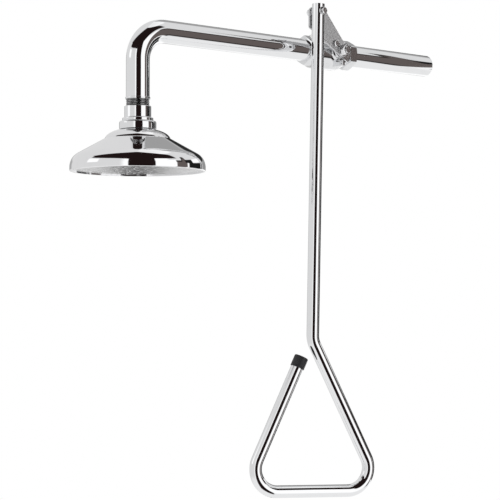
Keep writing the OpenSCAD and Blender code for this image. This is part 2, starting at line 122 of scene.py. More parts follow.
class Shape:
    """Points and faces of one piece, in millimetres."""

    def __init__(self):
        self.points = []
        self.faces = []

    def rings(self, rings, loop):
        """Skins closed rings of points, and joins the last ring to the first when they form a loop."""
        first = len(self.points)
        count = len(rings[0])
        for ring in rings:
            self.points.extend(ring)
        total = len(rings)
        for i in range(total if loop else total - 1):
            a, b = first + i * count, first + (i + 1) % total * count
            for k in range(count):
                n = (k + 1) % count
                self.faces.append((a + k, a + n, b + n, b + k))
        if not loop:
            self.faces.append(tuple(first + k for k in range(count))[::-1])
            self.faces.append(tuple(first + (total - 1) * count + k for k in range(count)))
        return self

    def spin(self, profile, stand, steps=96, loop=True):
        """Turns a line of (radius, height), each a number or a function of the angle, round the stand's z."""
        rings = []
        for radius, height in profile:
            ring = []
            for k in range(steps):
                angle = math.tau * k / steps
                r = radius(angle) if callable(radius) else radius
                h = height(angle) if callable(height) else height
                ring.append(stand.place((r * math.cos(angle), r * math.sin(angle), h)))
            rings.append(ring)
        return self.rings(rings, loop)

    def block(self, low, high, edge):
        """A block with rounded edges."""
        bm = bmesh.new()
        bmesh.ops.create_cube(bm, size=1)
        middle, size = (low + high) / 2, high - low
        for v in bm.verts:
            v.co = Vector(middle[i] + v.co[i] * size[i] for i in range(3))
        bmesh.ops.bevel(bm, geom=bm.edges[:], offset=edge, segments=3, profile=0.5, affect="EDGES")
        return self.add(bm)

    def add(self, bm):
        first = len(self.points)
        bm.verts.index_update()
        self.points.extend(v.co.copy() for v in bm.verts)
        self.faces.extend(tuple(first + v.index for v in f.verts) for f in bm.faces)
        bm.free()
        return self


def soften(profile, steps=5):
    """Rounds each corner (r, h, radius) of a closed line of points."""
    out = []
    count = len(profile)
    for i, corner in enumerate(profile):
        here = Vector(corner[:2])
        radius = corner[2] if len(corner) > 2 else 0
        if not radius:
            out.append((here.x, here.y))
            continue
        before = Vector(profile[i - 1][:2]) - here
        after = Vector(profile[(i + 1) % count][:2]) - here
        half = before.angle(after) / 2
        back = min(radius / math.tan(half), before.length * 0.48, after.length * 0.48)
        radius = back * math.tan(half)
        middle = here + (before.normalized() + after.normalized()).normalized() * radius / math.sin(half)
        start = here + before.normalized() * back - middle
        sweep = start.angle_signed(here + after.normalized() * back - middle)
        for k in range(steps + 1):
            turned = Matrix.Rotation(-sweep * k / steps, 2) @ start
            out.append((middle.x + turned.x, middle.y + turned.y))
    return out


def hexagon(flats, corner_share=0.985):
    """The radius of a hexagonal bar with slightly rounded corners, by angle."""
    def radius(angle):
        off = (angle + math.pi / 6) % (math.pi / 3) - math.pi / 6
        return min(flats / 2 / math.cos(off), flats / math.sqrt(3) * corner_share)
    return radius


def hexagon_rows(flats, low, high, chamfer_share=0.985):
    """The outer rows of a hexagon whose corners are turned back at both ends."""
    radius = hexagon(flats)
    turned = flats / 2 * chamfer_share
    slope = math.tan(math.radians(30))
    inner = lambda angle: min(radius(angle), turned)
    drop = lambda angle: max(radius(angle) - turned, 0) * slope
    return [(inner, low), (radius, lambda a: low + drop(a)),
            (radius, lambda a: high - drop(a)), (inner, high)]


def thread_rows(crest, depth, pitch, low, high, per_turn=8):
    """Rows from low to high of a screw thread that fades out at both ends."""
    count = max(int((high - low) / pitch * per_turn), 2)
    rows = []
    for i in range(count + 1):
        height = low + (high - low) * i / count
        fade = min((height - low) / pitch, (high - height) / pitch, 1)

        def radius(angle, height=height, fade=fade):
            share = (height / pitch - angle / math.tau) % 1
            valley = 1 - min(abs(share - 0.5) * 2.6, 1)
            return crest - depth * valley * (0.35 + 0.65 * fade) - 0.3 * depth * (1 - fade)
        rows.append((radius, height))
    return rows


def eased(a, b, c, steps):
    """Points of a curve from a to c that leans towards b."""
    a, b, c = Vector(a), Vector(b), Vector(c)
    return [a * (1 - t) ** 2 + b * 2 * t * (1 - t) + c * t * t for t in (i / steps for i in range(steps + 1))]


def eye_outline(eyes, steps=14):
    """The outline that wraps a line of eyes (y, z, radius) given counter-clockwise."""
    def side(a, b):
        gap = Vector((b[0] - a[0], b[1] - a[1]))
        return math.atan2(gap.y, gap.x) - math.pi / 2 + math.asin((b[2] - a[2]) / gap.length)

    out = []
    for i, eye in enumerate(eyes):
        first = side(eyes[i - 1], eye)
        sweep = (side(eye, eyes[(i + 1) % len(eyes)]) - first) % math.tau
        for k in range(steps + 1):
            angle = first + sweep * k / steps
            out.append((eye[0] + eye[2] * math.cos(angle), eye[1] + eye[2] * math.sin(angle)))
    return out


def circle(y, z, radius, steps=40):
    return [(y + radius * math.cos(math.tau * k / steps), z + radius * math.sin(math.tau * k / steps))
            for k in range(steps)]


def sheet_metal(outline, holes, back, front):
    """A flat plate between two x positions, from outlines in y and z."""
    bm = bmesh.new()
    for line in [outline] + holes:
        points = [bm.verts.new((back, y, z)) for y, z in line]
        for i, v in enumerate(points):
            bm.edges.new((v, points[(i + 1) % len(points)]))
    bmesh.ops.triangle_fill(bm, edges=bm.edges[:], use_beauty=True)
    bmesh.ops.dissolve_limit(bm, angle_limit=0.01, verts=bm.verts[:], edges=bm.edges[:])
    bm.verts.index_update()
    count = len(bm.verts)
    sheet = Shape()
    for x in (back, front):
        sheet.points.extend(Vector((x, v.co.y, v.co.z)) for v in bm.verts)
    for face in bm.faces:
        rim = [v.index for v in face.verts]
        sheet.faces.append(tuple(rim))
        sheet.faces.append(tuple(k + count for k in reversed(rim)))
    for edge in bm.edges:
        if len(edge.link_faces) == 1:
            a, b = (v.index for v in edge.verts)
            sheet.faces.append((a, b, b + count, a + count))
    bm.free()
    return sheet


# ---- pieces ----

def mark_wear(mesh):
    """Stores how sharply the surface turns outwards at each point, for wear along edges."""
    bm = bmesh.new()
    bm.from_mesh(mesh)
    sharp = [0.0] * len(bm.verts)
    for e in bm.edges:
        if len(e.link_faces) != 2:
            continue
        apart = (e.link_faces[0].calc_center_median() - e.link_faces[1].calc_center_median()).length
        bend = e.calc_face_angle_signed(0) / max(apart / MM, 0.05)
        for v in e.verts:
            sharp[v.index] = max(sharp[v.index], min(max(bend - 0.25, 0) / 1.2, 1))
    bm.free()
    layer = mesh.attributes.new("edge_wear", "FLOAT", "POINT")
    layer.data.foreach_set("value", sharp)


def tidy_up(mesh):
    """Merges doubled points and turns every face outwards."""
    bm = bmesh.new()
    bm.from_mesh(mesh)
    bmesh.ops.remove_doubles(bm, verts=bm.verts[:], dist=0.00002)
    bmesh.ops.recalc_face_normals(bm, faces=bm.faces[:])
    bm.to_mesh(mesh)
    bm.free()


def plain_mesh(name, base, add_modifier):
    """The plain mesh that one modifier makes from a base mesh."""
    source = bpy.data.objects.new(name + "_base", base)
    bpy.context.scene.collection.objects.link(source)
    add_modifier(source)
    bpy.context.view_layer.update()
    mesh = bpy.data.meshes.new_from_object(source.evaluated_get(bpy.context.evaluated_depsgraph_get()))
    bpy.data.objects.remove(source)
    return mesh


def walled(mesh, wall):
    """Grows a skin inwards into a wall."""
    def thicken(source):
        thick = source.modifiers.new("wall", "SOLIDIFY")
        thick.thickness = wall * MM
        thick.offset = -1
        thick.use_even_offset = True
    return plain_mesh("wall", mesh, thicken)


def settle(name, mesh, body, finish, replaced=(), bevel=0.0, wall=0.0):
    """Makes a mesh into a piece that rides on a body."""
    tidy_up(mesh)
    if wall:
        mesh = walled(mesh, wall)
        tidy_up(mesh)
    mark_wear(mesh)
    mesh.polygons.foreach_set("use_smooth", [True] * len(mesh.polygons))
    mesh.set_sharp_from_angle(angle=math.radians(34))
    mesh.materials.clear()
    mesh.materials.append(finish)
    mesh.name = name
    piece = bpy.data.objects.new(name, mesh)
    bpy.context.scene.collection.objects.link(piece)
    if bevel:
        edge = piece.modifiers.new("edges", "BEVEL")
        edge.width = bevel * MM
        edge.segments = 3
        edge.limit_method = "ANGLE"
        edge.angle_limit = math.radians(40)
        edge.harden_normals = True
    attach(piece, body)
    if replaced:
        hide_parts(*replaced)
    return piece


def piece(name, shape, body, slot, finish, replaced=(), bevel=0.0):
    mesh = bpy.data.meshes.new(name)
    mesh.from_pydata([p * MM for p in shape.points], [], shape.faces)
    return settle(name, mesh, body, finish, replaced, bevel)


# ---- node trees ----

class Value:
    """One output socket. Sums and products of values add their own Math nodes."""

    def __init__(self, tree, socket):
        self.tree = tree
        self.socket = socket

    def math(self, operation, *others):
        made = self.tree.nodes.new("ShaderNodeMath")
        made.operation = operation
        for socket, value in zip(made.inputs, (self,) + others):
            connect(self.tree, socket, value)
        return Value(self.tree, made.outputs[0])

    def flipped(self, operation, other):
        made = self.tree.nodes.new("ShaderNodeMath")
        made.operation = operation
        connect(self.tree, made.inputs[0], other)
        connect(self.tree, made.inputs[1], self)
        return Value(self.tree, made.outputs[0])

    def __add__(self, other):
        return self.math("ADD", other)

    __radd__ = __add__

    def __sub__(self, other):
        return self.math("SUBTRACT", other)

    def __rsub__(self, other):
        return self.flipped("SUBTRACT", other)

    def __mul__(self, other):
        return self.math("MULTIPLY", other)

    __rmul__ = __mul__

    def __truediv__(self, other):
        return self.math("DIVIDE", other)

    def __rtruediv__(self, other):
        return self.flipped("DIVIDE", other)


def connect(tree, socket, value):
    if isinstance(value, Value):
        tree.links.new(value.socket, socket)
    else:
        socket.default_value = value


class Nodes:
    """Adds nodes to one tree."""

    def __init__(self, tree):
        self.tree = tree
        tree.nodes.clear()

    def node(self, kind, settings=None, inputs=None, output=0):
        """A node of this type, with its settings set first and then its sockets."""
        made = self.tree.nodes.new(kind)
        for name, value in (settings or {}).items():
            if name == "stops":
                ramp = made.color_ramp
                while len(ramp.elements) < len(value):
                    ramp.elements.new(0.5)
                for element, (place, colour) in zip(ramp.elements, value):
                    element.position = place
                    element.color = colour
            else:
                setattr(made, name, value)
        for name, value in (inputs or {}).items():
            connect(self.tree, self.find(made.inputs, name), value)
        return Value(self.tree, self.find(made.outputs, output)) if len(made.outputs) else None

    def find(self, sockets, name):
        if isinstance(name, int):
            return sockets[name]
        return next(s for s in sockets if name in (s.identifier, s.name) and s.enabled)

    def smooth(self, value, low, high):
        """Runs from 0 at low to 1 at high."""
        return self.node("ShaderNodeMapRange", {"interpolation_type": "SMOOTHSTEP"},
                         {"Value": value, "From Min": low, "From Max": high})

    def between(self, value, low, high, soft):
        return self.smooth(value, low - soft, low + soft) * (1 - self.smooth(value, high - soft, high + soft))

    def blend(self, share, a, b):
        """Mixes two colours."""
        return self.node("ShaderNodeMix", {"data_type": "RGBA"},
                         {"Factor_Float": share, "A_Color": a, "B_Color": b}, "Result_Color")

    def noise(self, place, scale, detail=3.0, roughness=0.55, distortion=0.0):
        return self.node("ShaderNodeTexNoise", {"noise_dimensions": "3D"},
                         {"Vector": place, "Scale": scale, "Detail": detail, "Roughness": roughness,
                          "Distortion": distortion}, "Fac")

    def specks(self, place, scale, size, edge, patches):
        """Small round marks of this size, kept to these patches."""
        cells = self.node("ShaderNodeTexVoronoi", {"feature": "F1"},
                          {"Vector": place, "Scale": scale, "Randomness": 1.0}, "Distance")
        return (1 - self.smooth(cells, size, edge)) * patches

    def bump(self, strength, distance, height):
        return self.node("ShaderNodeBump", {}, {"Strength": strength, "Distance": distance, "Height": height})

    def edge_wear(self):
        return self.node("ShaderNodeAttribute", {"attribute_name": "edge_wear"}, {}, "Fac")

    def place(self, stretch=(1, 1, 1), turn=(0, 0, 0)):
        """The place on the object, in metres, stretched along its axes."""
        here = self.node("ShaderNodeTexCoord", output="Object")
        return self.node("ShaderNodeMapping", {}, {"Vector": here, "Scale": stretch, "Rotation": turn})


def material(name):
    made = bpy.data.materials.new(name)
    made.use_nodes = True
    return made, Nodes(made.node_tree)


def surface(nodes, sockets):
    """Ends a tree in one shader with these sockets."""
    shader = nodes.node("ShaderNodeBsdfPrincipled", {}, sockets)
    nodes.node("ShaderNodeOutputMaterial", {}, {"Surface": shader})


def grey(value, alpha=1.0):
    return (value, value, value, alpha)


def mirror_chrome(name, tint, haze=0.035, ripple=0.05, along=(1, 1, 1)):
    """Bright nickel-chrome plate: polishing lines, wiped smudges, water spots and thinner plate on edges."""
    made, nodes = material(name)
    here = nodes.place()
    wear = nodes.edge_wear()
    smudge = nodes.smooth(nodes.noise(here, 14, 4, 0.6, 0.6), 0.50, 0.72)
    wiped = nodes.smooth(nodes.noise(nodes.place((4, 1, 1), (0.3, 0.5, 0.2)), 55, 3, 0.6, 0.3), 0.55, 0.8)
    spots = nodes.specks(here, 140, 0.10, 0.16, nodes.smooth(nodes.noise(here, 22, 2), 0.55, 0.7))
    lines = nodes.noise(nodes.place(along), 900, 2, 0.7)
    dull = smudge * 0.45 + wiped * 0.35 + spots * 0.6 + wear * 0.5
    deeper = tuple(c * 0.86 for c in tint)
    colour = nodes.blend(dull * 0.55, (*tint, 1), (*deeper, 1))
    swell = nodes.noise(here, 7, 2, 0.4)
    height = swell * ripple * 4 + nodes.noise(here, 60, 2, 0.5) * ripple * 0.12 + lines * 0.0015
    surface(nodes, {"Base Color": colour, "Metallic": 1.0, "Roughness": haze + dull * 0.085 + lines * 0.02,
                    "Normal": nodes.bump(0.35, 0.001, height)})
    return made


def cast_chrome(name, tint):
    """Plated casting: a softer shine with fine orange peel left from the mould."""
    made, nodes = material(name)
    here = nodes.place()
    wear = nodes.edge_wear()
    peel = nodes.noise(here, 420, 3, 0.5)
    patches = nodes.smooth(nodes.noise(here, 40, 4, 0.6, 0.4), 0.45, 0.7)
    pits = nodes.specks(here, 330, 0.06, 0.14, nodes.smooth(nodes.noise(here, 60, 2), 0.5, 0.62))
    dull = patches * 0.6 + pits * 0.7 + wear * 0.3
    colour = nodes.blend(dull * 0.6, (*tint, 1), (*(c * 0.8 for c in tint), 1))
    height = peel * 0.16 + patches * 0.10 - pits * 0.25
    surface(nodes, {"Base Color": colour, "Metallic": 1.0, "Roughness": 0.08 + dull * 0.12,
                    "Normal": nodes.bump(0.4, 0.0006, height)})
    return made


def brushed_steel(name, tint, roughness, stretch, turn=(0, 0, 0), contrast=0.3):
    """Brushed stainless sheet: long fine grooves, cross scratches and edges rubbed bright."""
    made, nodes = material(name)
    here = nodes.place()
    wear = nodes.edge_wear()
    grooves = nodes.noise(nodes.place(stretch, turn), 900, 3, 0.65)
    bands = nodes.noise(nodes.place(stretch, turn), 160, 2, 0.5)
    scratch = nodes.smooth(nodes.noise(nodes.place((1, 30, 4), (0.9, 0.4, 0.7)), 120, 2, 0.5), 0.66, 0.74)
    stain = nodes.smooth(nodes.noise(here, 45, 4, 0.6, 0.5), 0.5, 0.75)
    shade = grooves * contrast + bands * contrast * 0.5
    colour = nodes.blend(shade, (*tint, 1), (*(c * 0.62 for c in tint), 1))
    colour = nodes.blend(stain * 0.3, colour, (*(c * 0.6 for c in tint), 1))
    colour = nodes.blend(wear * 0.55 + scratch * 0.25, colour, grey(0.86))
    height = grooves * 0.5 + bands * 0.3 - scratch * 0.6
    surface(nodes, {"Base Color": colour, "Metallic": 1.0,
                    "Roughness": roughness + grooves * 0.14 - wear * 0.08 + stain * 0.06,
                    "Normal": nodes.bump(0.35, 0.0003, height)})
    return made


def soft_seal(name, dark, light, roughness, grain):
    """Rubber or fluoropolymer: a matte face with fine grain and rubbed patches."""
    made, nodes = material(name)
    here = nodes.place()
    wear = nodes.edge_wear()
    cloud = nodes.noise(here, 90, 4, 0.6)
    fine = nodes.noise(here, grain, 3, 0.6)
    rubbed = nodes.smooth(nodes.noise(here, 60, 3, 0.6, 0.4), 0.5, 0.75)
    colour = nodes.blend(cloud * 0.7 + wear * 0.25 + rubbed * 0.2, (*dark, 1), (*light, 1))
    surface(nodes, {"Base Color": colour, "Roughness": roughness + fine * 0.18 - rubbed * 0.14,
                    "Specular IOR Level": 0.45, "Normal": nodes.bump(0.5, 0.0003, fine * 0.7 + cloud * 0.3)})
    return made


pipe_chrome = mirror_chrome("pipe_chrome", (0.90, 0.905, 0.915), along=(1, 0.05, 1))
rod_chrome = mirror_chrome("rod_chrome", (0.90, 0.905, 0.915), haze=0.04, along=(1, 1, 0.05))
head_chrome = mirror_chrome("head_chrome", (0.91, 0.91, 0.92), haze=0.03, ripple=0.035)
fitting_chrome = mirror_chrome("fitting_chrome", (0.88, 0.885, 0.895), haze=0.05)
ball_chrome = mirror_chrome("ball_chrome", (0.90, 0.905, 0.91), haze=0.03)
valve_chrome = cast_chrome("valve_chrome", (0.84, 0.845, 0.855))
fastener_steel = brushed_steel("fastener_steel", (0.90, 0.905, 0.915), 0.10, (6, 1, 1), contrast=0.18)
lever_steel = brushed_steel("lever_steel", (0.80, 0.80, 0.81), 0.40, (1, 0.08, 6), (0.7, 0, 0))
spray_steel = brushed_steel("spray_steel", (0.93, 0.93, 0.94), 0.13, (0.15, 4, 1), contrast=0.10)
seal_white = soft_seal("seal_white", (0.72, 0.71, 0.68), (0.88, 0.88, 0.86), 0.45, 500)
seal_black = soft_seal("seal_black", (0.012, 0.012, 0.013), (0.05, 0.05, 0.052), 0.55, 700)
thread_steel = brushed_steel("thread_steel", (0.13, 0.13, 0.135), 0.22, (1, 1, 6))
cap_black = soft_seal("cap_black", (0.004, 0.004, 0.005), (0.017, 0.017, 0.018), 0.42, 800)


# ---- bent tubes ----

def geometry_tree(name, sizes):
    """A geometry tree with an input for each named size."""
    tree = bpy.data.node_groups.new(name, "GeometryNodeTree")
    tree.interface.new_socket("Geometry", in_out="INPUT", socket_type="NodeSocketGeometry")
    kinds = {float: "NodeSocketFloat", int: "NodeSocketInt", bpy.types.Material: "NodeSocketMaterial"}
    for label, value in sizes.items():
        kind = next(k for k in kinds if isinstance(value, k))
        tree.interface.new_socket(label, in_out="INPUT", socket_type=kinds[kind])
    tree.interface.new_socket("Geometry", in_out="OUTPUT", socket_type="NodeSocketGeometry")
    nodes = Nodes(tree)
    entry = tree.nodes.new("NodeGroupInput")
    return tree, nodes, {s.name: Value(tree, s) for s in entry.outputs if s.name}


def close_tree(nodes, geometry, finish):
    """Ends a geometry tree in plain geometry with its material."""
    real = nodes.node("GeometryNodeRealizeInstances", {}, {"Geometry": geometry})
    done = nodes.node("GeometryNodeSetMaterial", {}, {"Geometry": real, "Material": finish})
    nodes.node("NodeGroupOutput", {}, {"Geometry": done})


def grown_mesh(name, base, tree, sizes):
    """The plain mesh that a geometry tree makes from a base mesh."""
    def grow(source):
        modifier = source.modifiers.new("grow", "NODES")
        modifier.node_group = tree
        for item in tree.interface.items_tree:
            if item.in_out == "INPUT" and item.name in sizes:
                modifier[item.identifier] = sizes[item.name]
    return plain_mesh(name, base, grow)


def bent_tube_mesh(name, line, finish, radius, sides=96, bend_steps=28):
    """The outer skin of a tube along a line of (point, bend radius), rounded at each bend."""
    base = bpy.data.meshes.new(name + "_line")
    base.from_pydata([Vector(p) * MM for p, _ in line], [(i, i + 1) for i in range(len(line) - 1)], [])
    layer = base.attributes.new("bend_radius", "FLOAT", "POINT")
    layer.data.foreach_set("value", [bend * MM for _, bend in line])
    sizes = {"Tube radius": radius * MM, "Sides": sides, "Bend steps": bend_steps, "Finish": finish}
    tree, nodes, given = geometry_tree("bent_tube", sizes)
    bends = nodes.node("GeometryNodeInputNamedAttribute", {"data_type": "FLOAT"}, {"Name": "bend_radius"},
                       "Attribute")
    path = nodes.node("GeometryNodeMeshToCurve", {}, {"Mesh": given["Geometry"]}, "Curve")
    rounded = nodes.node("GeometryNodeFilletCurve", {},
                         {"Curve": path, "Radius": bends, "Limit Radius": False})
    fillet = rounded.socket.node
    if "Mode" in fillet.inputs:
        fillet.inputs["Mode"].default_value = "Poly"
    else:
        fillet.mode = "POLY"
    count = next(s for s in fillet.inputs if s.name == "Count")
    connect(tree, count, given["Bend steps"])
    ring = nodes.node("GeometryNodeCurvePrimitiveCircle", {},
                      {"Resolution": given["Sides"], "Radius": given["Tube radius"]}, "Curve")
    skin = nodes.node("GeometryNodeCurveToMesh", {}, {"Curve": rounded, "Profile Curve": ring}, "Mesh")
    close_tree(nodes, skin, given["Finish"])
    return grown_mesh(name, base, tree, sizes)


# each open end of a tube has one more ring this far in, so that its wear stays there
END_RING = 1.5
neck_top = ring_high.z
tube = bent_tube_mesh("arm_tube", [
    ((0, arm_high.y, 0), 0), ((0, arm_high.y - END_RING, 0), 0), ((0, HEAD_Y, 0), BEND_R),
    ((0, HEAD_Y, neck_top), 0), ((0, HEAD_Y, neck_top - END_RING), 0)], pipe_chrome, PIPE_R)
settle("arm_tube", tube, "pipework", pipe_chrome, ["arm_pipe"], wall=PIPE_WALL)

# the handle's line: down from the pivot, out to one corner, along the bottom bar and up the free side
ROD_R = 9.5
ROD_WALL = 1.5
ROD_X = PLATE_FRONT + 10.95
ROD_DROP = 723.0
ROD_ABOVE_PIVOT = 11.0
ROD_LEAN = Matrix.Rotation(math.radians(-1.4), 3, "X")
ROD_BEND_R = 30
ROD_BEND_HEIGHT = 225
CORNER_R = 34
NEAR_CORNER = 114.64
FREE_CORNER = -104.6
FREE_END = (-18.5, 198)
HANDLE_TURN = math.radians(22)
HANDLE_WAY = Vector((math.sin(HANDLE_TURN), math.cos(HANDLE_TURN), 0))


def on_rod(across, height):
    """A point of the leaning rod: how far along the handle, and how far up from the handle's bottom bar."""
    plumb = HANDLE_WAY * across + Z_AXIS * (height - ROD_DROP)
    return Vector((ROD_X, PIVOT.y, PIVOT.z)) + ROD_LEAN @ plumb


ROD_LENGTH = ROD_DROP + ROD_ABOVE_PIVOT
free_tip, free_foot = on_rod(*FREE_END), on_rod(FREE_CORNER, 0)
cap_way = (free_tip - free_foot).normalized()
rod_line = [(on_rod(0, ROD_LENGTH), 0), (on_rod(0, ROD_LENGTH - END_RING), 0),
            (on_rod(0, ROD_BEND_HEIGHT), ROD_BEND_R), (on_rod(NEAR_CORNER, 0), CORNER_R),
            (free_foot, CORNER_R), (free_tip - cap_way * END_RING, 0), (free_tip, 0)]
rod = bent_tube_mesh("pull_rod_tube", rod_line, rod_chrome, ROD_R, sides=64)
settle("pull_rod_tube", rod, "pull_rod", rod_chrome, ["pull_rod"], wall=ROD_WALL)

# ---- inlet pipe and the threaded end of the drop pipe ----

along_pipe = Frame((0, 0, 0), Y_AXIS)
TURNED_R = PIPE_R - 0.5
turned_end = inlet_low.y + 16.2
inlet = soften([(BORE_R, inlet_low.y), (TURNED_R, inlet_low.y, 0.3), (TURNED_R, turned_end),
                (PIPE_R, turned_end, 0.2), (PIPE_R, 0, 0.7), (BORE_R, 0, 0.5)])
piece("inlet_tube", Shape().spin(inlet, along_pipe, 128), "pipework", "pipe_chrome", pipe_chrome,
      ["inlet_pipe"])

at_head = Frame((0, HEAD_Y, 0))
PIPE_THREAD_DEPTH = 0.95
PIPE_THREAD_PITCH = 2.3
thread_top = ring_low.z + 0.6
drop_rows = thread_rows(PIPE_R - 0.25, PIPE_THREAD_DEPTH, PIPE_THREAD_PITCH, arm_low.z, thread_top, 10)
drop_thread = [(BORE_R, arm_low.z), *drop_rows, (BORE_R, thread_top)]
piece("drop_thread", Shape().spin(drop_thread, at_head, 96), "pipework", "fastener_steel", thread_steel)

# ---- collars above the head ----

ring_r = ring_high.x
neck = soften([(SOCKET_R, ring_low.z), (ring_r, ring_low.z, 0.7), (ring_r, ring_high.z, 0.9),
               (SOCKET_R, ring_high.z, 0.2)])
piece("neck_collar", Shape().spin(neck, at_head), "pipework", "fitting_chrome", fitting_chrome, ["neck_ring"])

NECK_BORE_R = 12
COUPLING_SPIGOT_R = 16
HUB_SPIGOT_R = 20
step_r = coupling_high.x
shank_r = step_r - 3
foot = coupling_low.z + 9.2
step_top = foot + 4.5
coupling = soften([
    (NECK_BORE_R, coupling_low.z), (COUPLING_SPIGOT_R, coupling_low.z, 0.3), (COUPLING_SPIGOT_R, foot),
    (step_r, foot, 0.8), (step_r, step_top, 1.0), (shank_r, step_top, 0.9), (shank_r, coupling_high.z, 1.2),
    (SOCKET_R, coupling_high.z, 0.4), (SOCKET_R, arm_low.z), (NECK_BORE_R, arm_low.z)])
piece("outlet_collar", Shape().spin(coupling, at_head, 120), "pipework", "fitting_chrome", fitting_chrome,
      ["outlet_coupling"])

hub_r = hub_high.x
hub_base = dome_high.z + 0.8
hub_socket_r = COUPLING_SPIGOT_R + 0.05
hub_floor = coupling_low.z - 2.2
hub = soften([
    (NECK_BORE_R, hub_low.z), (HUB_SPIGOT_R, hub_low.z, 0.3), (HUB_SPIGOT_R, hub_base),
    (hub_r, hub_base, 1.0), (hub_r, hub_high.z, 2.4), (hub_socket_r + 1.45, hub_high.z, 0.4),
    (hub_socket_r, hub_high.z - 1), (hub_socket_r, hub_floor), (NECK_BORE_R, hub_floor)])
piece("head_collar", Shape().spin(hub, at_head, 120), "pipework", "fitting_chrome", fitting_chrome,
      ["head_hub"])

# ---- head ----

HEAD_HEIGHT = dome_high.z - dome_low.z
SHEET = 1.5
ROLL_R = 1.4
LIP = 4.5
shoulder = Vector((HEAD_R * 0.484, -HEAD_HEIGHT * 0.213))
flare = Vector((HEAD_R * 0.875, -HEAD_HEIGHT * 0.568))
crown = eased((hub_r + 0.7, 0), (shoulder.x * 0.947, shoulder.y * 0.36), shoulder, 18)
slope = eased(shoulder + Vector((1, -0.5)), (HEAD_R * 0.68, -HEAD_HEIGHT * 0.39), flare, 16)
skirt = eased(flare + Vector((1, -0.6)), (HEAD_R * 0.988, -HEAD_HEIGHT * 0.675),
              (HEAD_R, -HEAD_HEIGHT * 0.887), 22)
outer = [Vector((HUB_SPIGOT_R + 0.2, 0))] + crown + slope + skirt + [Vector((HEAD_R, -HEAD_HEIGHT + ROLL_R))]
inner = []
for i, point in enumerate(outer):
    way = (outer[min(i + 1, len(outer) - 1)] - outer[max(i - 1, 0)]).normalized()
    inner.append(point - Vector((-way.y, way.x)) * SHEET)
rolled = [(HEAD_R - ROLL_R + ROLL_R * math.cos(a), -HEAD_HEIGHT + ROLL_R + ROLL_R * math.sin(a))
          for a in (-math.pi / 2 * k / 7 for k in range(1, 8))]
lip = [(HEAD_R - LIP, -HEAD_HEIGHT), (HEAD_R - LIP, -HEAD_HEIGHT + SHEET)]
dome = [tuple(p) for p in outer] + rolled + lip + [tuple(p) for p in reversed(inner)]
dome = [(r, h + dome_high.z) for r, h in dome]
piece("head_bell", Shape().spin(dome, at_head, 192), "pipework", "head_chrome", head_chrome, ["head_dome"])


def perforated_sheet(name, finish, sizes):
    """A round sheet with rings of drilled holes, each with a small pressed lip on its lower face."""
    sizes = dict(sizes, Finish=finish)
    tree, nodes, given = geometry_tree("spray_holes", sizes)
    index = nodes.node("GeometryNodeInputIndex")
    nth = (index - 1).math("MAXIMUM", 0)
    ring = ((nth * 12 + 9).math("SQRT") + 3.001) / 6
    ring = ring.math("FLOOR")
    first = ring * (ring - 1) * 3
    angle = (nth - first) * (math.tau / 6) / ring + ring * given["Ring turn"]
    out = ring * given["Ring spacing"] * index.math("MINIMUM", 1)
    spot = nodes.node("ShaderNodeCombineXYZ", {},
                      {"X": out * angle.math("COSINE"), "Y": out * angle.math("SINE")})
    rings = given["Rings"]
    dots = nodes.node("GeometryNodePoints", {}, {"Count": rings * (rings + 1) * 3 + 1, "Position": spot})
    hole = nodes.node("GeometryNodeCurvePrimitiveCircle", {},
                      {"Resolution": 16, "Radius": given["Hole radius"]}, "Curve")
    holes = nodes.node("GeometryNodeInstanceOnPoints", {}, {"Points": dots, "Instance": hole})
    edge = nodes.node("GeometryNodeCurvePrimitiveCircle", {},
                      {"Resolution": 144, "Radius": given["Sheet radius"]}, "Curve")
    both = tree.nodes.new("GeometryNodeJoinGeometry")
    for curve in (edge, nodes.node("GeometryNodeRealizeInstances", {}, {"Geometry": holes})):
        tree.links.new(curve.socket, both.inputs[0])
    flat = nodes.node("GeometryNodeFillCurve", {}, {"Curve": Value(tree, both.outputs[0])})
    upwards = nodes.node("ShaderNodeCombineXYZ", {}, {"Z": given["Thickness"]})
    raised = nodes.node("GeometryNodeExtrudeMesh", {"mode": "FACES"},
                        {"Mesh": flat, "Offset": upwards, "Offset Scale": 1.0, "Individual": False}, "Mesh")
    under = nodes.node("GeometryNodeFlipFaces", {}, {"Mesh": flat})
    lip_ring = nodes.node("GeometryNodeCurvePrimitiveCircle", {},
                          {"Resolution": 12, "Radius": given["Hole radius"] + given["Lip"]}, "Curve")
    bead = nodes.node("GeometryNodeCurvePrimitiveCircle", {},
                      {"Resolution": 4, "Radius": given["Lip"]}, "Curve")
    lip_mesh = nodes.node("GeometryNodeCurveToMesh", {}, {"Curve": lip_ring, "Profile Curve": bead}, "Mesh")
    lips = nodes.node("GeometryNodeInstanceOnPoints", {}, {"Points": dots, "Instance": lip_mesh})
    whole = tree.nodes.new("GeometryNodeJoinGeometry")
    for part in (raised, under, lips):
        tree.links.new(part.socket, whole.inputs[0])
    real = nodes.node("GeometryNodeRealizeInstances", {}, {"Geometry": Value(tree, whole.outputs[0])})
    welded = nodes.node("GeometryNodeMergeByDistance", {}, {"Geometry": real, "Distance": 0.00001})
    close_tree(nodes, welded, given["Finish"])
    return grown_mesh(name, bpy.data.meshes.new(name + "_seed"), tree, sizes)


SPRAY_R = spray_high.x
SPRAY_BORDER = 18
HOLE_R = 1.6
RINGS = 5
spray = perforated_sheet("spray_face", spray_steel, {
    "Sheet radius": SPRAY_R * MM, "Thickness": (spray_high.z - spray_low.z) * MM, "Hole radius": HOLE_R * MM,
    "Ring spacing": (SPRAY_R - SPRAY_BORDER) / RINGS * MM, "Rings": RINGS, "Ring turn": math.radians(7),
    "Lip": 0.12 * MM})
spray.transform(Matrix.Translation((0, HEAD_Y * MM, spray_low.z * MM)))
settle("spray_face", spray, "pipework", spray_steel, ["spray_plate"])

# ---- valve ----

